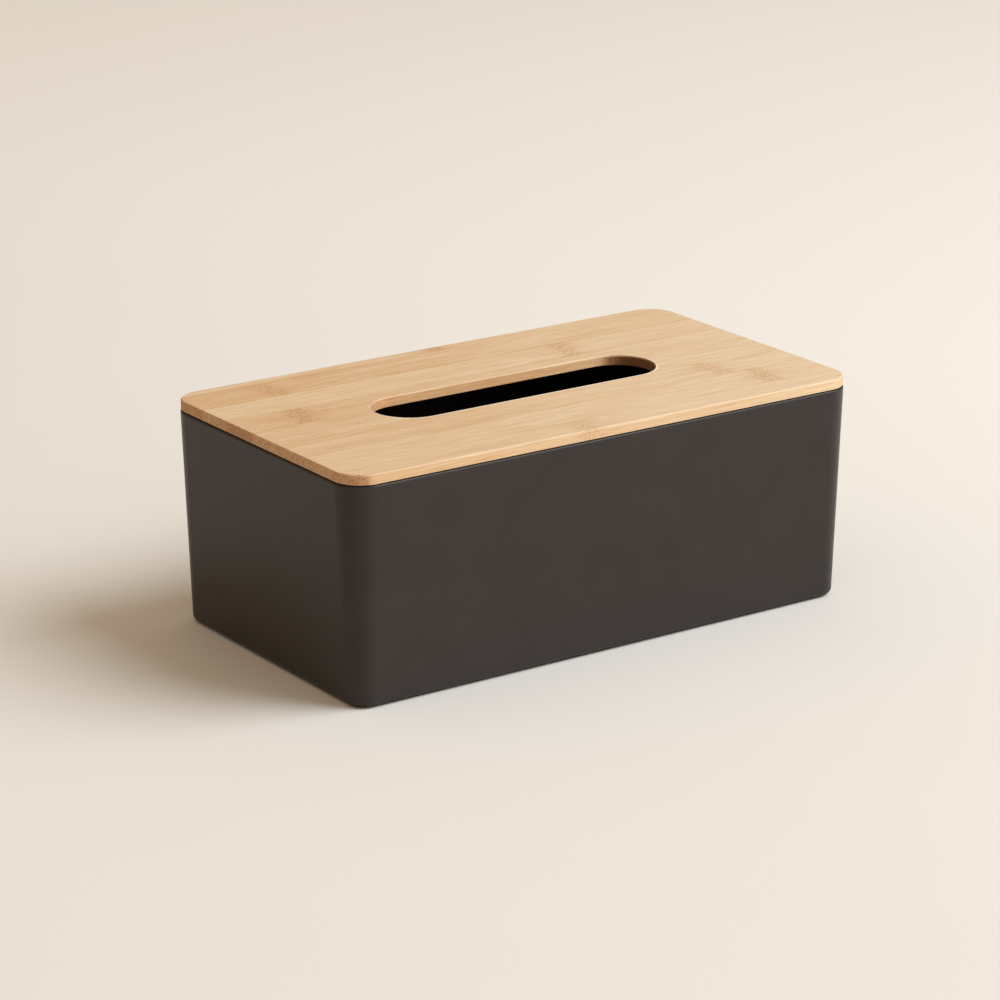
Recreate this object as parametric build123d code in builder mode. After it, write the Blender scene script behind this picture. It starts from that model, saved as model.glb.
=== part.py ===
from build123d import *

import os
from math import ceil, radians, tan

# A table-top tissue box: a drafted, open-topped moulded shell under a lift-off bamboo lid.
#
# The lid is a board glued up edge to edge from bamboo staves and then routed with one long
# dispensing slot. Two cleats, screwed across its underside, drop inside the rim and keep the
# lid from sliding. The shell stands on four thin pads that are stuck into shallow recesses.
#
# The frame: X runs along the box, Y across it from the front to the back, Z up. The origin is
# on the table, under the middle of the box. Sizes are in millimetres and angles in degrees.

# Shell: the outline is set at the rim, and the walls lean in towards the base.
rim_length = 260.0
rim_width = 143.5
rim_corner_radius = 13.0
base_corner_radius = 8.5
shell_height = 95.3
end_draft = 2.35
side_draft = 1.6
wall = 2.4
floor_thickness = 2.4
rim_outer_round = 1.1
rim_inner_round = 0.6
base_round = 2.5
cavity_floor_round = 2.0

# Foot pads: soft discs in shallow recesses of the underside.
pad_diameter = 12.0
pad_thickness = 1.2
pad_edge_round = 0.25
recess_depth = 0.6
recess_clearance = 0.2
recess_edge_distance = 6.0

# Lid board and its slot, with sharp edges taken off by a narrow bevel.
lid_inset = 0.3
lid_thickness = 4.6
lid_top_bevel = 0.5
lid_bottom_bevel = 0.35
slot_length = 141.8
slot_width = 33.4
slot_top_bevel = 0.5
slot_bottom_bevel = 0.3

# Staves: one glue joint lies at stave_joint_y, and the others follow a stave apart.
stave_width = 20.4
stave_joint_y = 4.0

# Cleats under the lid, which locate it inside the rim.
cleat_width = 12.0
cleat_thickness = 6.0
cleat_play = 0.8
cleat_bevel = 0.8

# Countersunk wood screws, in a row along each cleat.
screws_per_cleat = 3
screw_spacing = 50.0
screw_length = 9.0
screw_shank_diameter = 3.0
screw_head_diameter = 5.6
screw_head_angle = 90.0
screw_tip_length = 1.6
screw_clearance = 0.15
screw_seat_clearance = 0.05
pilot_end_clearance = 0.3
drive_recess_span = 3.0
drive_recess_width = 0.7
drive_recess_depth = 0.9

# Levels, from the table up.
shell_bottom = pad_thickness - recess_depth
rim_level = shell_bottom + shell_height
cavity_floor = shell_bottom + floor_thickness
cleat_bottom = rim_level - cleat_thickness

# The lid's outline follows the rim, just inside it.
lid_length = rim_length - 2 * lid_inset
lid_width = rim_width - 2 * lid_inset
lid_corner_radius = rim_corner_radius - lid_inset


def outline(level, inset):
    """Length, width and corner radius of the shell's outside at a level, drawn in by an inset."""
    fall = rim_level - level
    length = rim_length - 2 * (fall * tan(radians(end_draft)) + inset)
    width = rim_width - 2 * (fall * tan(radians(side_draft)) + inset)
    tightening = (rim_corner_radius - base_corner_radius) * fall / shell_height
    return length, width, rim_corner_radius - tightening - inset


# The cleats fit the cavity at their own lower edge, where it is narrowest.
cleat_outline = outline(cleat_bottom, wall + cleat_play)
cleat_centre_x = (cleat_outline[0] - cleat_width) / 2

# The pads stand in from the edge of the underside, and clear of its rounded edge.
base_length, base_width, _ = outline(shell_bottom, 0)
pad_inset = base_round + recess_edge_distance + pad_diameter / 2
pad_x = base_length / 2 - pad_inset
pad_y = base_width / 2 - pad_inset


def level_face(part, rank):
    """The horizontal face of a part at that rank, counted from the lowest up."""
    return part.faces().filter_by(Axis.Z).sort_by(Axis.Z)[rank]


def keep(piece, name):
    """Labels a finished piece and writes it under that name."""
    piece.part.label = name
    export_step(piece.part, f"parts/{name}.step")


def make_shell():
    """The moulded shell: drafted walls and floor in one piece, with a rounded rim."""
    with BuildPart() as shell:
        for level in (shell_bottom, rim_level):
            with BuildSketch(Plane.XY.offset(level)):
                RectangleRounded(*outline(level, 0))
        loft(ruled=True)
        fillet(level_face(shell.part, 0).edges(), base_round)

        for level in (cavity_floor, rim_level):
            with BuildSketch(Plane.XY.offset(level)):
                RectangleRounded(*outline(level, wall))
        loft(ruled=True, mode=Mode.SUBTRACT)
        fillet(level_face(shell.part, 1).edges(), cavity_floor_round)

        rim = level_face(shell.part, -1)
        mouth_edges = rim.inner_wires()[0].edges()
        fillet(rim.outer_wire().edges(), rim_outer_round)
        fillet(mouth_edges, rim_inner_round)

        with BuildSketch(Plane.XY.offset(shell_bottom)):
            with GridLocations(2 * pad_x, 2 * pad_y, 2, 2):
                Circle(pad_diameter / 2 + recess_clearance)
        extrude(amount=recess_depth, mode=Mode.SUBTRACT)
    return shell


def make_foot_pad(x, y):
    """One stick-on pad, from the table to the roof of its recess."""
    with BuildPart() as pad:
        with BuildSketch(Plane.XY):
            with Locations((x, y)):
                Circle(pad_diameter / 2)
        extrude(amount=pad_thickness)
        fillet(level_face(pad.part, 0).edges(), pad_edge_round)
    return pad


def screw_points():
    """Where the screws stand in plan, a row of them along each cleat."""
    rows = (screws_per_cleat - 1) / 2
    return [
        (side * cleat_centre_x, (row - rows) * screw_spacing)
        for side in (-1, 1)
        for row in range(screws_per_cleat)
    ]


def make_lid_board():
    """The whole glued-up board, with its slot and the pilot holes, before it is parted."""
    with BuildPart() as board:
        with BuildSketch(Plane.XY.offset(rim_level)):
            RectangleRounded(lid_length, lid_width, lid_corner_radius)
            SlotOverall(slot_length, slot_width, mode=Mode.SUBTRACT)
        extrude(amount=lid_thickness)
        for rank, outer_bevel, slot_bevel in (
            (-1, lid_top_bevel, slot_top_bevel),
            (0, lid_bottom_bevel, slot_bottom_bevel),
        ):
            face = level_face(board.part, rank)
            slot_edges = face.inner_wires()[0].edges()
            chamfer(face.outer_wire().edges(), outer_bevel)
            chamfer(slot_edges, slot_bevel)

        with BuildSketch(Plane.XY.offset(rim_level)):
            with Locations(*screw_points()):
                Circle(screw_shank_diameter / 2 + screw_seat_clearance)
        pilot_depth = screw_length - cleat_thickness + pilot_end_clearance
        extrude(amount=pilot_depth, mode=Mode.SUBTRACT)
    return board


def stave_bands():
    """Each stave's name and the part of the plan that it covers: (name, x range, y range).

    Staves are numbered from the front. One that the slot cuts right through is two pieces.
    """
    half_length, half_width = lid_length / 2, lid_width / 2
    first = ceil((-half_width - stave_joint_y) / stave_width)
    joints = []
    joint = stave_joint_y + first * stave_width
    while joint < half_width:
        joints.append(joint)
        joint += stave_width
    edges = [-half_width, *joints, half_width]
    bands = []
    for number, (front, back) in enumerate(zip(edges, edges[1:]), start=1):
        name = f"lid_stave_{number}"
        if front >= -slot_width / 2 and back <= slot_width / 2:
            bands.append((f"{name}_left", (-half_length, 0), (front, back)))
            bands.append((f"{name}_right", (0, half_length), (front, back)))
        else:
            bands.append((name, (-half_length, half_length), (front, back)))
    return bands


def make_lid_stave(board, x_range, y_range):
    """The piece of the board between two glue joints."""
    with BuildPart() as stave:
        add(board.part)
        with Locations((sum(x_range) / 2, sum(y_range) / 2, rim_level + lid_thickness / 2)):
            Box(
                x_range[1] - x_range[0],
                y_range[1] - y_range[0],
                lid_thickness,
                mode=Mode.INTERSECT,
            )
    return stave


def make_cleat(side):
    """One cleat, on the left at side -1 and on the right at 1, shaped to the cavity's end."""
    with BuildPart() as cleat:
        with BuildSketch(Plane.XY.offset(rim_level)):
            RectangleRounded(*cleat_outline)
            with Locations((side * cleat_centre_x, 0)):
                Rectangle(cleat_width, cleat_outline[1], mode=Mode.INTERSECT)
        extrude(amount=-cleat_thickness)
        chamfer(level_face(cleat.part, 0).edges(), cleat_bevel)
        row = [point for point in screw_points() if point[0] * side > 0]
        with Locations(Plane(origin=(0, 0, cleat_bottom), x_dir=(1, 0, 0), z_dir=(0, 0, -1))):
            with Locations(*[(x, -y) for x, y in row]):
                CounterSinkHole(
                    radius=screw_shank_diameter / 2 + screw_clearance,
                    counter_sink_radius=screw_head_diameter / 2 + screw_seat_clearance,
                    counter_sink_angle=screw_head_angle,
                )
    return cleat


def make_screw():
    """One countersunk screw, head down at the origin and its tip up."""
    head_radius = screw_head_diameter / 2
    shank_radius = screw_shank_diameter / 2
    head_height = (head_radius - shank_radius) / tan(radians(screw_head_angle / 2))
    with BuildPart() as screw:
        with BuildSketch(Plane.XZ):
            with BuildLine():
                Polyline(
                    (0, 0),
                    (head_radius, 0),
                    (shank_radius, head_height),
                    (shank_radius, screw_length - screw_tip_length),
                    (0, screw_length),
                    close=True,
                )
            make_face()
        revolve(axis=Axis.Z)
        with BuildSketch(Plane.XY):
            Rectangle(drive_recess_span, drive_recess_width)
            Rectangle(drive_recess_width, drive_recess_span)
        extrude(amount=drive_recess_depth, mode=Mode.SUBTRACT)
    return screw


def make_cleat_screws():
    """All the screws of both cleats, heads flush with the cleats' undersides."""
    one_screw = make_screw()
    with BuildPart() as screws:
        with Locations(*[(x, y, cleat_bottom) for x, y in screw_points()]):
            add(one_screw.part)
    return screws


os.makedirs("parts", exist_ok=True)

keep(make_shell(), "body_shell")

for end, x in (("left", -pad_x), ("right", pad_x)):
    for face, y in (("front", -pad_y), ("back", pad_y)):
        keep(make_foot_pad(x, y), f"foot_pad_{face}_{end}")

lid_board = make_lid_board()
for name, x_range, y_range in stave_bands():
    keep(make_lid_stave(lid_board, x_range, y_range), name)

keep(make_cleat(-1), "lid_cleat_left")
keep(make_cleat(1), "lid_cleat_right")
keep(make_cleat_screws(), "cleat_screws")
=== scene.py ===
# %% [markdown]
# # A tissue box with a lift-off bamboo lid
#
# The real object is a charcoal plastic shell under a flat lid of glued-up bamboo staves. Its
# shape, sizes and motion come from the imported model, which is loaded here as a fixed frame, so
# this lesson is about finish: what each surface is made of, and how to say that with shader
# nodes. Everything is in metres, X along the box, Y from front to back, Z up from the table.

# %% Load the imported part
import math

import bpy
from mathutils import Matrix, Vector


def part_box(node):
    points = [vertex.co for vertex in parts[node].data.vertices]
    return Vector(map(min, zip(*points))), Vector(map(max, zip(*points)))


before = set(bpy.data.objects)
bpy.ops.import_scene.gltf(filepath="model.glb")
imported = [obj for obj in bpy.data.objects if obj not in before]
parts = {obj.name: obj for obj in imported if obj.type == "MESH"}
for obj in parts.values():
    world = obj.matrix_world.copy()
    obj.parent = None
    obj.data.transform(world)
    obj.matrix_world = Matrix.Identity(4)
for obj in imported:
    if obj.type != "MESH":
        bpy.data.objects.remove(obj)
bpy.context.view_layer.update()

# %% [markdown]
# ## The camera
#
# A product picture like this one is taken from well back with a long lens, so the box keeps
# nearly parallel edges. The camera stands 1.6 m away, looks down by 18 degrees, and is turned
# so that it sees one long side and one short end. It is given by a place and two angles, which
# is easier to adjust than a matrix.

# %% Place the camera
camera_place = (-0.8739, -1.2430, 0.5414)
camera_turn = -34.856
camera_tilt = 17.961
camera_lens = 132.54
sensor_width = 36.0
clip_near, clip_far = 0.05, 50.0

bpy.ops.object.camera_add(
    location=camera_place,
    rotation=(math.radians(90 - camera_tilt), 0, math.radians(camera_turn)),
)
camera = bpy.context.object
camera.name = "camera"
camera.data.lens = camera_lens
camera.data.sensor_width = sensor_width
camera.data.clip_start = clip_near
camera.data.clip_end = clip_far
bpy.context.scene.camera = camera
print("camera distance, m:", round(Vector(camera_place).length, 2))

# %% [markdown]
# ## A short way to write shader nodes
#
# Node trees get long when every socket takes its own line. One helper adds a node and feeds its
# inputs, by name or by number, with a value or with another node's socket. Two more give the
# result of a sum straight away, for numbers and for vectors.

# %% Add a node, feed a socket
def feed(tree, socket, value):
    """Links a socket to an input, or sets the input's own value."""
    if isinstance(value, bpy.types.NodeSocket):
        tree.links.new(value, socket)
    else:
        socket.default_value = value


def add(tree, kind, inputs=None, **settings):
    """Adds a shader node and returns it."""
    node = tree.nodes.new("ShaderNode" + kind)
    for name, value in settings.items():
        setattr(node, name, value)
    for name, value in (inputs or {}).items():
        feed(tree, node.inputs[name], value)
    return node


def maths(tree, operation, *values):
    """A Math node's result."""
    return add(tree, "Math", dict(enumerate(values)), operation=operation).outputs[0]


def vector_maths(tree, operation, *values):
    """A Vector Math node's result."""
    return add(tree, "VectorMath", dict(enumerate(values)), operation=operation).outputs[0]


# %% [markdown]
# ## Steps, mixes and noise
#
# Nearly every finish below comes down to three moves: noise that is stretched the way the
# material grew or was worked, a soft step that turns a number into a mask, and a mix of two
# colours by that mask. The noise is centred on zero, so that its share can be changed without
# making the whole surface lighter or darker.

# %% Steps, mixes and noise
def soft_step(tree, value, start, end, low=0.0, high=1.0):
    """Goes smoothly from low to high as the value goes from start to end."""
    inputs = {"Value": value, "From Min": start, "From Max": end, "To Min": low, "To Max": high}
    return add(tree, "MapRange", inputs, interpolation_type="SMOOTHSTEP").outputs[0]


def mix_colour(tree, amount, first, second, free=False):
    """The first colour, going over to the second as the amount goes from 0 to 1."""
    inputs = {0: amount, 6: first, 7: second}
    node = add(tree, "Mix", inputs, data_type="RGBA", clamp_factor=not free)
    return node.outputs[2]


def distance_from(tree, value, middle):
    """How far a number is from a middle, to either side."""
    return maths(tree, "ABSOLUTE", maths(tree, "SUBTRACT", value, middle))


def noise(tree, point, size, detail=2.0, roughness=0.5):
    """Noise about zero, from about -1 to 1, with lumps of that size: one number, or three."""
    sizes = (size, size, size) if isinstance(size, (int, float)) else size
    scaled = vector_maths(tree, "DIVIDE", point, sizes)
    inputs = {"Vector": scaled, "Scale": 1.0, "Detail": detail, "Roughness": roughness}
    raw = add(tree, "TexNoise", inputs, noise_dimensions="3D").outputs["Fac"]
    return maths(tree, "MULTIPLY_ADD", raw, 2.0, -1.0)


# %% [markdown]
# ## Node groups
#
# The lid is eleven pieces of the same bamboo, and the plastic, rubber and zinc share one kind
# of fine skin. A node group keeps such a pattern in one place: it is built once, with named
# sockets, and every material then uses it with its own values.

# %% Make a group, use a group
def new_group(name, inputs, outputs):
    """An empty node group with those sockets, and its input's and output's sockets."""
    group = bpy.data.node_groups.new(name, "ShaderNodeTree")
    for title, kind in inputs.items():
        group.interface.new_socket(title, in_out="INPUT", socket_type="NodeSocket" + kind)
    for title, kind in outputs.items():
        group.interface.new_socket(title, in_out="OUTPUT", socket_type="NodeSocket" + kind)
    given = group.nodes.new("NodeGroupInput").outputs
    wanted = group.nodes.new("NodeGroupOutput").inputs
    return group, given, wanted


def use_group(tree, group, inputs):
    """Places a group in a material and returns its outputs."""
    node = tree.nodes.new("ShaderNodeGroup")
    node.node_tree = group
    for name, value in inputs.items():
        feed(tree, node.inputs[name], value)
    return node.outputs


# %% [markdown]
# ## Measuring in millimetres
#
# The pattern sizes below are real ones, such as a glue line less than a millimetre wide. Object
# coordinates are in metres, so each material first turns them into millimetres. Object
# coordinates are used rather than generated ones, because they don't stretch with a piece.

# %% Start a material
to_millimetres = (1000.0, 1000.0, 1000.0)


def start_material(name):
    """A new material, its node tree, its Principled node and the point in millimetres."""
    material = bpy.data.materials.new(name)
    material.use_nodes = True
    tree = material.node_tree
    shader = tree.nodes["Principled BSDF"]
    place = add(tree, "TexCoord").outputs["Object"]
    millimetres = add(tree, "Mapping", {"Vector": place, "Scale": to_millimetres})
    return material, tree, shader, millimetres.outputs[0]


def bump(tree, height, depth_mm):
    """A normal from a height of -1 to 1, as a relief of that depth."""
    inputs = {"Height": height, "Strength": 1.0, "Distance": depth_mm / 1000}
    return add(tree, "Bump", inputs).outputs[0]


def dress(node_name, material):
    """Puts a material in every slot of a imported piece."""
    for slot in parts[node_name].material_slots:
        slot.material = material


# %% [markdown]
# ## Bamboo: one solid pattern
#
# A bamboo stave is a bundle of long fibres. Cut along, it shows fine streaks; cut across, the
# same fibres show as dots. So the pattern is a solid one: noise that is long in X and narrow in
# Y and Z. Where the lid's corner turns from the long side to the end, the streaks turn into
# dots by themselves, as they do when real bamboo is routed. A painted image would have to be
# unwrapped and would show a seam there.
#
# Every stave takes its own stretch of that pattern by its strip number, and the fibres waver a
# little sideways, because no cane is quite straight.

# %% A stave's own stretch of the pattern
strip_step_x, strip_step_z = 173.0, 61.0
waver_size = (55.0, 14.0, 14.0)
waver_width = 1.3


def own_stretch(group, given):
    """The surface point, moved on by the strip number and wavering along the fibres."""
    shift = add(group, "CombineXYZ", {
        "X": maths(group, "MULTIPLY", given["Strip"], strip_step_x),
        "Z": maths(group, "MULTIPLY", given["Strip"], strip_step_z),
    }).outputs[0]
    own = vector_maths(group, "ADD", given["Point"], shift)
    waver = noise(group, own, waver_size, detail=1.0)
    sideways = add(group, "CombineXYZ", {"Y": maths(group, "MULTIPLY", waver, waver_width)})
    return vector_maths(group, "ADD", own, sideways.outputs[0])


print("fibres waver by up to", waver_width, "mm")

# %% [markdown]
# ## Bamboo: the tone of the long grain
#
# Measured along and across, the streaks on this lid are about 20 mm long and 1 to 3 mm wide,
# and dark ones are browner, not just darker. So one number, the tone, adds up everything that
# makes bamboo lighter or darker, and then drives all three colour channels together between a
# dark and a light colour. It also carries painted shade and light: on every stave it rises from
# the left end to the right, towards the lamp. Four sizes of noise give the streaks, the fibres in
# them, broader bands and slow clouds. The glue lines lower the same tone.

# %% Streaks, bands and glue lines
grain = (
    # name, lump size in mm, detail, roughness, share of the tone
    ("streaks", (15.0, 0.78, 0.78), 3.0, 0.62, 0.34),
    ("fibres", (30.0, 0.4, 0.4), 1.0, 0.5, 0.15),
    ("bands", (45.0, 3.0, 3.0), 1.0, 0.5, 0.14),
    ("clouds", (85.0, 9.0, 9.0), 1.0, 0.5, 0.07),
)
half_lid = 130.0
glue_line = (0.75, 0.1)
tone_range = 0.566


def long_grain(group, given, own, place):
    """How light the long grain is, from 0 to 1, and the streaks and fibres in it."""
    # Painted shade and light: each stave's tone runs from its left value to its right one.
    along = soft_step(group, place["X"], -half_lid, half_lid)
    change = maths(group, "SUBTRACT", given["Right tone and light"], given["Left tone and shade"])
    tone = maths(group, "MULTIPLY_ADD", along, change, given["Left tone and shade"])
    layers = {}
    for name, size, detail, roughness, share in grain:
        layers[name] = noise(group, own, size, detail, roughness)
        tone = maths(group, "MULTIPLY_ADD", layers[name], share, tone)
    for joint, glue in (("Front joint", "Front glue"), ("Back joint", "Back glue")):
        gap = distance_from(group, place["Y"], given[joint])
        line = soft_step(group, gap, *glue_line)
        tone = maths(group, "SUBTRACT", tone, maths(group, "MULTIPLY", line, given[glue]))
    amount = maths(group, "MULTIPLY_ADD", tone, 1 / tone_range, 0.5)
    return amount, layers["streaks"], layers["fibres"]


print("streak length and width, mm:", grain[0][1][:2])

# %% [markdown]
# ## Bamboo: the knuckles
#
# Once in a while a stave has a knuckle, where a wall closed the hollow cane. The fibres bend
# there and end in a band of small brown specks, inside a faint warm stain. It crosses the
# stave at a slight slant. It could be a decal; here it is a distance along the stave, made
# ragged with noise, so that it runs over the lid's edge as the real one does.

# %% Knuckle stain
ragged_size = (6.0, 2.0, 2.0)
ragged_reach = 7.0
speck_size = (1.1, 0.8, 0.8)
speck_cut = (-0.06, 0.18)
speck_band = (6.5, 3.0)
halo_band = (17.0, 1.0)
halo_strength = 0.20


def knuckle_stain(group, given, own, place):
    """How much of the knuckle's brown lies at the point, from 0 to 1."""
    across = maths(group, "SUBTRACT", place["Y"], given["Front joint"])
    lean = maths(group, "MULTIPLY", across, given["Knuckle slant"])
    ragged = maths(group, "MULTIPLY", noise(group, own, ragged_size), ragged_reach)
    offset = maths(group, "SUBTRACT", place["X"], given["Knuckle"])
    offset = maths(group, "SUBTRACT", offset, lean)
    offset = maths(group, "ABSOLUTE", maths(group, "ADD", offset, ragged))
    specks = noise(group, own, speck_size, detail=1.0, roughness=0.6)
    specks = soft_step(group, specks, *speck_cut)
    speckled = maths(group, "MULTIPLY", soft_step(group, offset, *speck_band), specks)
    halo = maths(group, "MULTIPLY", soft_step(group, offset, *halo_band), halo_strength)
    stain = maths(group, "MAXIMUM", speckled, halo)
    return maths(group, "MULTIPLY", stain, given["Knuckle depth"])


print("knuckle, mm wide:", 2 * speck_band[0], "in a stain of", 2 * halo_band[0])

# %% [markdown]
# ## Bamboo: end grain
#
# On the lid's ends the fibres are cut across. End grain is darker and rougher, and each bundle
# of fibres shows as a dark pore. Cells with a random centre stand for the bundles: they are
# long in X like everything else, so on an end face only their round section shows. The face's
# own normal tells the ends from the sides, and it comes in softly round the corner.
#
# The dark end grain shows fully on every wall that faces the left end, away from the lamp, and
# less of it shows on walls that face the lamp's side: painted shade and painted light.

# %% End grain
dark_end = (0.520, 0.275, 0.130, 1.0)
light_end = (0.740, 0.460, 0.260, 1.0)
pore_brown = (0.290, 0.135, 0.050, 1.0)
bundle_size = (60.0, 0.85, 0.85)
pore_cut = (0.55, 0.20)
pore_share = 0.8
end_facing = (0.12, 0.45)
away_from_lamp_facing = (0.3, -0.3)
end_grain_shade_share = (0.35, 0.90)


def end_grain(group, given, own, amount, colour, normal):
    """The colour with end grain where the fibres are cut across, that zone, and its pores."""
    facing = soft_step(group, maths(group, "ABSOLUTE", normal["X"]), *end_facing)
    cells = vector_maths(group, "DIVIDE", own, bundle_size)
    bundles = add(group, "TexVoronoi", {"Vector": cells, "Scale": 1.0}, feature="F1").outputs[0]
    pores = maths(group, "MULTIPLY", soft_step(group, bundles, *pore_cut), facing)
    end_amount = maths(group, "ADD", amount, given["End tone"])
    sawn = mix_colour(group, end_amount, dark_end, light_end)
    sawn = mix_colour(group, maths(group, "MULTIPLY", pores, pore_share), sawn, pore_brown)
    # Painted shade and light: more dark end grain on walls facing away from the lamp.
    end_grain_shade = soft_step(group, normal["X"], *away_from_lamp_facing, *end_grain_shade_share)
    colour = mix_colour(group, maths(group, "MULTIPLY", facing, end_grain_shade), colour, sawn)
    return colour, facing, pores


print("fibre bundles, mm across:", bundle_size[1])

# %% [markdown]
# ## Bamboo: painted light and shade on the cut walls
#
# The board was cut to its outline and slotted with a router. Its long walls are warmed a little,
# and the slot's walls warmed and lightened more: painted warm light. The slot's far end, which
# faces away from the lamp, is painted dark brown: painted shade. All of it follows from the face's
# direction and from where the slot is, so no mask has to be painted. The slot's zone may fade in
# outside its walls, because it touches only the level top there, and the top takes no tint.

# %% Tint the cut walls, scorch the slot's end
slot_zone_x = (100.0, 72.0)
slot_zone_y = (30.0, 20.0)
long_wall_facing = (0.72, 0.95)
outer_painted_light = (1.06, 1.00, 0.91, 1.0)
slot_painted_light = (1.27, 1.07, 0.87, 1.0)
far_end_facing = (-0.2, -0.8)
slot_end_shade_share = 0.85
painted_shade_brown = (0.215, 0.098, 0.038, 1.0)


def paint_wall_light_and_shade(group, colour, place, normal):
    """The colour, with painted light on the long walls and painted shade at the slot's far end."""
    along = soft_step(group, maths(group, "ABSOLUTE", place["X"]), *slot_zone_x)
    across = soft_step(group, maths(group, "ABSOLUTE", place["Y"]), *slot_zone_y)
    in_slot = maths(group, "MULTIPLY", along, across)
    long_wall = soft_step(group, maths(group, "ABSOLUTE", normal["Y"]), *long_wall_facing)
    # Painted warm light on the long walls, stronger inside the slot.
    tint = mix_colour(group, in_slot, outer_painted_light, slot_painted_light)
    painted_lit_colour = vector_maths(group, "MULTIPLY", colour, tint)
    colour = mix_colour(group, long_wall, colour, painted_lit_colour)

    # Painted shade: the slot's far end, facing away from the lamp, goes dark brown.
    far_end = soft_step(group, normal["X"], *far_end_facing)
    far_end = maths(group, "MULTIPLY", in_slot, far_end)
    return mix_colour(group, maths(group, "MULTIPLY", far_end, slot_end_shade_share), colour, painted_shade_brown)


print("slot walls warmed, red by", slot_painted_light[0], "and blue by", slot_painted_light[2])

# %% [markdown]
# ## Bamboo: a painted highlight on the slot's near edge
#
# The slot's near edge catches the light as a thin bright line, and here that line is painted on
# the top as a pale ring: a painted highlight. The slot has straight walls and round ends, so its
# edge keeps one distance from a middle line that is as long as the straight walls. How far a
# point lies past that line's end, and how far to its side, gives the distance. A thin ring at
# the edge's distance then follows the slot all round, and only its near half is kept.

# %% Paint a highlight on the slot's near edge
slot_straight = 54.2
ring_radius = 17.5
ring_width = (0.7, 0.2)
near_side = (-4.0, -12.0)
highlight_share = 0.75
highlight_colour = (0.960, 0.860, 0.690, 1.0)


def paint_edge_highlight(group, colour, place):
    """The colour, with a painted highlight: paler in a thin ring along the slot's near edge."""
    beyond = maths(group, "SUBTRACT", maths(group, "ABSOLUTE", place["X"]), slot_straight)
    beyond = maths(group, "MAXIMUM", beyond, 0.0)
    reach = add(group, "CombineXYZ", {"X": beyond, "Y": place["Y"]}).outputs[0]
    reach = add(group, "VectorMath", {0: reach}, operation="LENGTH").outputs["Value"]
    ring = soft_step(group, distance_from(group, reach, ring_radius), *ring_width)
    near = soft_step(group, place["Y"], *near_side)
    # Painted highlight: a pale line on the top along the slot's near edge.
    painted_highlight = maths(group, "MULTIPLY", maths(group, "MULTIPLY", ring, near), highlight_share)
    return mix_colour(group, painted_highlight, colour, highlight_colour)


print("sanded line, mm from the slot's middle line:", ring_radius)

# %% [markdown]
# ## Bamboo: painted shade on the lower bevel
#
# The narrow lower bevel is painted almost black: painted shade where the lid sits on the shell.
# From outside, it is most of the fine dark line between the lid and the shell. Only such bevels
# look out and down at 45 degrees, so the upward part of the normal is enough to find them.

# %% Paint shade on the lower bevel
bevel_slope = -0.707
bevel_facing = (0.2, 0.1)
bevel_shade_share = 0.9
bevel_shade_black = (0.020, 0.011, 0.006, 1.0)


def shade_lower_bevel(group, colour, normal):
    """The colour, with painted shade: nearly black on faces that slope outwards and down."""
    slope = distance_from(group, normal["Z"], bevel_slope)
    # Painted shade: the lower bevel goes nearly black.
    bevel = maths(group, "MULTIPLY", soft_step(group, slope, *bevel_facing), bevel_shade_share)
    return mix_colour(group, bevel, colour, bevel_shade_black)


print("shaded bevel, share:", bevel_shade_share)

# %% [markdown]
# ## Bamboo: the whole group
#
# The group puts those steps together. It gives a colour, a roughness and a height, and leaves
# the Principled node itself to each material. End grain is rougher, and its pores are pits.

# %% The bamboo group
bamboo_inputs = {
    "Point": "Vector", "Strip": "Float", "Left tone and shade": "Float", "Right tone and light": "Float",
    "Front joint": "Float", "Back joint": "Float", "Front glue": "Float", "Back glue": "Float",
    "Knuckle": "Float", "Knuckle slant": "Float", "Knuckle depth": "Float",
    "End tone": "Float",
}
bamboo_outputs = {"Colour": "Color", "Roughness": "Float", "Height": "Float"}
dark_bamboo = (0.622, 0.385, 0.199, 1.0)
light_bamboo = (0.813, 0.675, 0.474, 1.0)
knuckle_brown = (0.490, 0.235, 0.085, 1.0)
long_roughness = 0.50
end_roughness = 0.22
streak_roughness = 0.06
streak_height = 0.4
pore_height = -2.0


def make_bamboo_group():
    """Solid bamboo, with its glue joints and one knuckle, for a stave that runs along X."""
    group, given, wanted = new_group("bamboo", bamboo_inputs, bamboo_outputs)
    own = own_stretch(group, given)
    place = add(group, "SeparateXYZ", {0: given["Point"]}).outputs
    normal = add(group, "SeparateXYZ", {0: add(group, "TexCoord").outputs["Normal"]}).outputs

    amount, streaks, fibres = long_grain(group, given, own, place)
    colour = mix_colour(group, amount, dark_bamboo, light_bamboo, free=True)
    stain = knuckle_stain(group, given, own, place)
    colour = mix_colour(group, stain, colour, knuckle_brown)
    colour, facing, pores = end_grain(group, given, own, amount, colour, normal)
    colour = paint_wall_light_and_shade(group, colour, place, normal)
    colour = paint_edge_highlight(group, colour, place)
    feed(group, wanted["Colour"], shade_lower_bevel(group, colour, normal))

    rough = maths(group, "MULTIPLY_ADD", facing, end_roughness, long_roughness)
    rough = maths(group, "MULTIPLY_ADD", streaks, streak_roughness, rough)
    feed(group, wanted["Roughness"], rough)
    relief = maths(group, "MULTIPLY_ADD", streaks, streak_height, fibres)
    relief = maths(group, "MULTIPLY_ADD", pores, pore_height, relief)
    feed(group, wanted["Height"], relief)
    return group


bamboo_group = make_bamboo_group()
print("bamboo group:", len(bamboo_group.nodes), "nodes")
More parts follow.
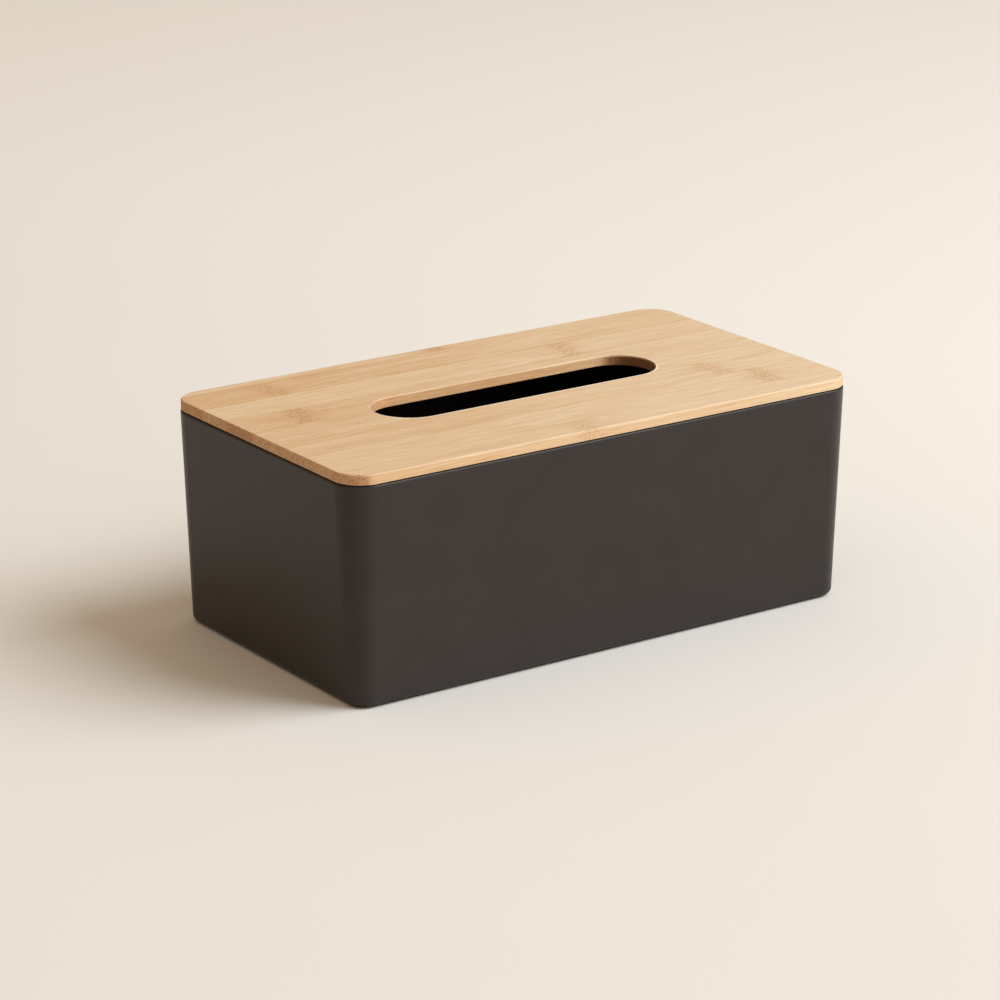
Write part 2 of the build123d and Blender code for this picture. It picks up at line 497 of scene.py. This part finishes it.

# %% [markdown]
# ## The lid's staves
#
# Each stave was cut from another cane, so each has its own tone, its own stretch of the
# pattern, and its knuckle somewhere else. On top of that, every stave's tone rises from its left
# end to its right, and the staves are darker towards the back: painted shade and painted light,
# from the lamp on the right front. Where two staves meet there is a fine dark glue line; how much
# it shows depends on how well the two were pressed. The joints are read from the packed staves
# themselves, so the lines stay on the real joints. A knuckle is given by its place along the lid,
# and a depth of 0 means that the stave has none. The finish is a thin matt lacquer: a surface
# with a soft, weak shine.

# %% Give each stave its bamboo
stave_looks = {
    # stave: left tone and shade, right tone and light, front glue, back glue, knuckle, slant,
    # depth, end tone
    "lid_stave_1": (-0.10, 0.07, 0.00, 0.07, -12.0, 0.20, 0.45, -0.10),
    "lid_stave_2": (-0.08, 0.04, 0.07, 0.12, 96.0, 0.15, 0.75, 0.05),
    "lid_stave_3": (-0.15, 0.03, 0.12, 0.12, 87.0, -0.15, 0.60, 0.10),
    "lid_stave_4_left": (-0.14, 0.02, 0.12, 0.12, 260.0, 0.0, 0.0, 0.30),
    "lid_stave_4_right": (-0.14, 0.02, 0.12, 0.10, 260.0, 0.0, 0.0, 0.15),
    "lid_stave_5": (-0.22, 0.01, 0.12, 0.12, -101.0, 0.10, 0.95, -0.25),
    "lid_stave_6": (-0.08, -0.02, 0.12, 0.16, 50.0, 0.10, 0.65, 0.10),
    "lid_stave_7": (-0.24, -0.04, 0.32, 0.12, -88.0, -0.25, 0.70, 0.10),
    "lid_stave_8": (-0.15, -0.02, 0.12, 0.00, 4.0, -0.30, 1.00, 0.10),
}
lacquer_shine = 0.25
fibre_depth = 0.008


def make_bamboo(name, strip, joints, look):
    """One stave's material."""
    material, tree, shader, point = start_material(name)
    left, right, front_glue, back_glue, knuckle, slant, depth, end_tone = look
    bamboo = use_group(tree, bamboo_group, {
        "Point": point, "Strip": float(strip), "Left tone and shade": left, "Right tone and light": right,
        "Front joint": joints[0], "Back joint": joints[1],
        "Front glue": front_glue, "Back glue": back_glue,
        "Knuckle": knuckle, "Knuckle slant": slant, "Knuckle depth": depth,
        "End tone": end_tone,
    })
    feed(tree, shader.inputs["Base Color"], bamboo["Colour"])
    feed(tree, shader.inputs["Roughness"], bamboo["Roughness"])
    feed(tree, shader.inputs["Normal"], bump(tree, bamboo["Height"], fibre_depth))
    shader.inputs["Specular IOR Level"].default_value = lacquer_shine
    return material


for strip, (stave, look) in enumerate(stave_looks.items(), start=1):
    low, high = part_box(stave)
    joints = (1000 * low.y, 1000 * high.y)
    dress(stave, make_bamboo("bamboo_" + stave, strip, joints, look))
    print(stave, "from y", round(joints[0], 1), "to", round(joints[1], 1))

# %% [markdown]
# ## The cleats
#
# Two battens across the underside drop inside the rim and keep the lid from sliding. They are
# only seen when the lid is lifted. They come from the same bamboo, so they use the same group,
# in one even tone. They have no joints or knuckle, so those are set far outside the piece.

# %% Give the cleats their bamboo
far_off = 900.0
cleat_look = (-0.04, -0.04, 0.0, 0.0, far_off, 0.0, 0.0, 0.0)
no_joints = (-far_off, far_off)
first_cleat_strip = 20

for strip, cleat in enumerate(("lid_cleat_left", "lid_cleat_right"), start=first_cleat_strip):
    dress(cleat, make_bamboo("bamboo_" + cleat, strip, no_joints, cleat_look))
    print(cleat, "is bamboo strip", strip)

# %% [markdown]
# ## A fine skin for moulded and plated pieces
#
# Plastic from a blasted tool, moulded rubber and plated steel all have a skin that is almost
# even: a grain too fine to see one by one, which softens the shine, and a slow mottling in
# colour and shine. One group gives both, as a height and a mask, and each material decides how
# deep they go. Modelling the grain would take millions of faces for nothing.

# %% The fine skin group
mottle_grains = 45.0
mottle_contrast = 0.8


def make_skin_group():
    """The fine grain of a moulded or plated skin: a mask and a height, both about zero."""
    group, given, wanted = new_group(
        "fine_skin", {"Point": "Vector", "Grain": "Float"}, {"Mottle": "Float", "Height": "Float"})
    size = add(group, "CombineXYZ", {axis: given["Grain"] for axis in "XYZ"}).outputs[0]
    scaled = vector_maths(group, "DIVIDE", given["Point"], size)
    feed(group, wanted["Height"], noise(group, scaled, 1.0, detail=3.0, roughness=0.6))
    feed(group, wanted["Mottle"], noise(group, scaled, mottle_grains, detail=2.0))
    return group


def make_skin(name, colours, roughness, grain_mm, depth_mm, mottle):
    """A skin whose colour goes between two, and whose shine is slightly uneven."""
    material, tree, shader, point = start_material(name)
    skin = use_group(tree, skin_group, {"Point": point, "Grain": grain_mm})
    amount = maths(tree, "MULTIPLY_ADD", skin["Mottle"], mottle_contrast, 0.5)
    feed(tree, shader.inputs["Base Color"], mix_colour(tree, amount, *colours))
    shine = maths(tree, "MULTIPLY_ADD", skin["Mottle"], mottle, roughness)
    feed(tree, shader.inputs["Roughness"], shine)
    feed(tree, shader.inputs["Normal"], bump(tree, skin["Height"], depth_mm))
    return material


skin_group = make_skin_group()
print("fine skin group:", len(skin_group.nodes), "nodes")

# %% [markdown]
# ## The shell's charcoal plastic
#
# The shell is one moulding with a satin skin: a very dark warm grey, a fairly soft shine, and
# no visible grain at arm's length. Its shine is weaker and warmer than plain plastic's,
# because the pigment comes right up to the surface, so the shine has its own level and tint.

# %% Charcoal plastic
charcoal = ((0.0385, 0.0330, 0.0305, 1.0), (0.0445, 0.0385, 0.0360, 1.0))
satin = 0.35
weak_shine = 0.16
warm_shine = (1.0, 0.88, 0.78, 1.0)

charcoal_plastic = make_skin(
    "charcoal_plastic", charcoal, roughness=satin, grain_mm=0.35, depth_mm=0.004, mottle=0.012)
charcoal_shader = charcoal_plastic.node_tree.nodes["Principled BSDF"]
charcoal_shader.inputs["Specular IOR Level"].default_value = weak_shine
charcoal_shader.inputs["Specular Tint"].default_value = warm_shine
dress("body_shell", charcoal_plastic)
print("shell roughness:", satin)

# %% [markdown]
# ## The rim and the lower edge
#
# The tool's parting line runs round the top of the rim. Below it the rounded edge is polished,
# and catches the lamp as a thin bright line all along the box. Above it, on the seat, the
# plastic is dull and painted black: painted shade in the narrow gap under the lid. Together they
# make the dark and the light line under the lid. The lower edge, which turns in above the table,
# is as dull as the seat and painted black too: painted shade in the gap above the table. The
# three zones are rings at a known height, so height alone finds them.

# %% Paint shade on the seat and the lower edge, polish the rim
painted_shade_black = (0.004, 0.004, 0.004, 1.0)
seat_levels = (95.60, 95.66)
polish_levels = (94.75, 94.95)
lower_edge_levels = (1.6, 1.1)
polished = 0.20


def shade_and_polish_rim(material):
    """Paints shade black on the seat and the lower edge, and polishes the rim's round."""
    tree = material.node_tree
    shader = tree.nodes["Principled BSDF"]
    millimetres = tree.nodes["Mapping"].outputs[0]
    height = add(tree, "SeparateXYZ", {0: millimetres}).outputs["Z"]
    seat = soft_step(tree, height, *seat_levels)
    lower_edge = soft_step(tree, height, *lower_edge_levels)
    dull_and_shaded = maths(tree, "MAXIMUM", seat, lower_edge)
    edge = soft_step(tree, height, *polish_levels)
    skin_colour = shader.inputs["Base Color"].links[0].from_socket
    # Painted shade: black on the seat under the lid and on the lower edge above the table.
    feed(tree, shader.inputs["Base Color"], mix_colour(tree, dull_and_shaded, skin_colour, painted_shade_black))
    skin_shine = shader.inputs["Roughness"].links[0].from_socket
    shine = maths(tree, "MULTIPLY_ADD", edge, polished - satin, skin_shine)
    feed(tree, shader.inputs["Roughness"], maths(tree, "MAXIMUM", shine, dull_and_shaded))


shade_and_polish_rim(charcoal_plastic)
print("levels, mm: lower edge", lower_edge_levels, "polish", polish_levels, "seat", seat_levels)

# %% [markdown]
# ## The foot pads
#
# Four thin discs of soft black rubber sit in recesses under the shell. From the side only the
# shadow gap they leave can be seen. Rubber is matt, and slightly greyer where it has rubbed,
# so it takes the same skin with a high roughness and a stronger mottling.

# %% Rubber pads
rubber_black = ((0.020, 0.020, 0.020, 1.0), (0.034, 0.033, 0.032, 1.0))
pad_rubber = make_skin(
    "pad_rubber", rubber_black, roughness=0.75, grain_mm=0.25, depth_mm=0.010, mottle=0.05)
pads = [name for name in parts if name.startswith("foot_pad")]
for pad in pads:
    dress(pad, pad_rubber)
print("rubber pads:", len(pads))

# %% [markdown]
# ## The cleat screws
#
# Six countersunk steel screws hold the cleats, plated with zinc against rust. A plated skin is
# a metal with a fine, cloudy shine, so the skin group serves once more with Metallic at 1.

# %% Zinc-plated screws
zinc = ((0.55, 0.55, 0.52, 1.0), (0.68, 0.68, 0.66, 1.0))
plated = 0.32

zinc_plate = make_skin(
    "zinc_plate", zinc, roughness=plated, grain_mm=0.20, depth_mm=0.003, mottle=0.05)
zinc_plate.node_tree.nodes["Principled BSDF"].inputs["Metallic"].default_value = 1.0
dress("cleat_screws", zinc_plate)
print("screw roughness:", plated)

# %% [markdown]
# ## The table
#
# The box stands on a wide sheet of cream paper without an edge in sight. A plane does for it,
# large enough to fill the picture. The paper is slightly uneven, and its colour is a touch paler
# towards the lamp's side: painted light. It is matt, or it would mirror the box.

# %% Cream paper
paper_size = 14.0
cream = (0.775, 0.730, 0.675, 1.0)
paler_cream = (0.790, 0.746, 0.692, 1.0)
painted_light_cream = (0.820, 0.781, 0.727, 1.0)
lamp_side = (0.97, 0.243, 0.0)
painted_light_reach = 520.0
cloud_size = 160.0
paper_roughness = 0.9
paper_shine = 0.1

bpy.ops.mesh.primitive_plane_add(size=paper_size, location=(0, 0, 0))
paper = bpy.context.object
paper.name = "paper"
paper_material, paper_tree, paper_shader, paper_point = start_material("cream_paper")
clouds = noise(paper_tree, paper_point, cloud_size, detail=3.0)
clouds = maths(paper_tree, "MULTIPLY_ADD", clouds, 0.5, 0.5)
near_colour = mix_colour(paper_tree, clouds, cream, paler_cream)
# Painted light: the paper's colour grows paler towards the lamp's side.
towards_lamp_side = add(paper_tree, "VectorMath", {0: paper_point, 1: lamp_side}, operation="DOT_PRODUCT")
painted_light_amount = soft_step(paper_tree, towards_lamp_side.outputs["Value"], 0.0, painted_light_reach)
paper_colour = mix_colour(paper_tree, painted_light_amount, near_colour, painted_light_cream)
feed(paper_tree, paper_shader.inputs["Base Color"], paper_colour)
paper_shader.inputs["Roughness"].default_value = paper_roughness
paper_shader.inputs["Specular IOR Level"].default_value = paper_shine
paper.data.materials.append(paper_material)
print("paper, m:", paper_size)

# %% [markdown]
# ## The lamp
#
# One large soft lamp stands high on the right, in front, and throws a wide, soft shadow to the
# left. A disc is used because its shadow softens evenly all round. Its size over its distance
# sets how soft the shadow is, and its height sets how long.

# %% Key lamp
lamp_heading = Vector((0.515, -0.428, 0.743)).normalized()
lamp_distance = 3.3
lamp_width = 2.4
lamp_power = 88.5
lamp_colour = (0.88, 1.0, 1.10)

bpy.ops.object.light_add(type="AREA", location=lamp_heading * lamp_distance)
lamp = bpy.context.object
lamp.name = "key_lamp"
lamp.data.shape = "DISK"
lamp.data.size = lamp_width
lamp.data.energy = lamp_power
lamp.data.color = lamp_colour
lamp.rotation_euler = lamp_heading.to_track_quat("Z", "Y").to_euler()
print("lamp height, m:", round(lamp.location.z, 2))

# %% [markdown]
# ## The room
#
# The rest of the light comes from the room: warm and bright overhead, falling off towards the
# floor, with one window low on the right. The world gives it without any objects, by comparing
# each direction with the direction of the bright side and of the window.

# %% Room light
bright_side = (0.05, 0.00, 1.0)
bright_reach = (-0.75, 0.95)
dim_light = (0.035, 0.024, 0.014, 1.0)
bright_light = (0.60, 0.48, 0.355, 1.0)
window_side = (0.75, -0.62, 0.22)
window_reach = (0.72, 1.0)
window_light = (1.85, 1.82, 1.92, 1.0)

room = bpy.data.worlds.new("room")
room.use_nodes = True
room_tree = room.node_tree
outlook = add(room_tree, "TexCoord").outputs["Generated"]


def towards(side, start, end):
    """How far a direction of the room points to a side, stepped softly between two cosines."""
    cosine = add(room_tree, "VectorMath", {0: outlook, 1: side}, operation="DOT_PRODUCT")
    return soft_step(room_tree, cosine.outputs["Value"], start, end)


room_colour = mix_colour(room_tree, towards(bright_side, *bright_reach), dim_light, bright_light)
room_colour = mix_colour(room_tree, towards(window_side, *window_reach), room_colour, window_light)
feed(room_tree, room_tree.nodes["Background"].inputs["Color"], room_colour)
bpy.context.scene.world = room
print("room light:", len(room_tree.nodes), "nodes")

# %% [markdown]
# ## Settings
#
# The picture is shown with the Standard view transform, so a colour comes out as it is written.

# %% Finish
bpy.context.scene.view_settings.view_transform = "Standard"
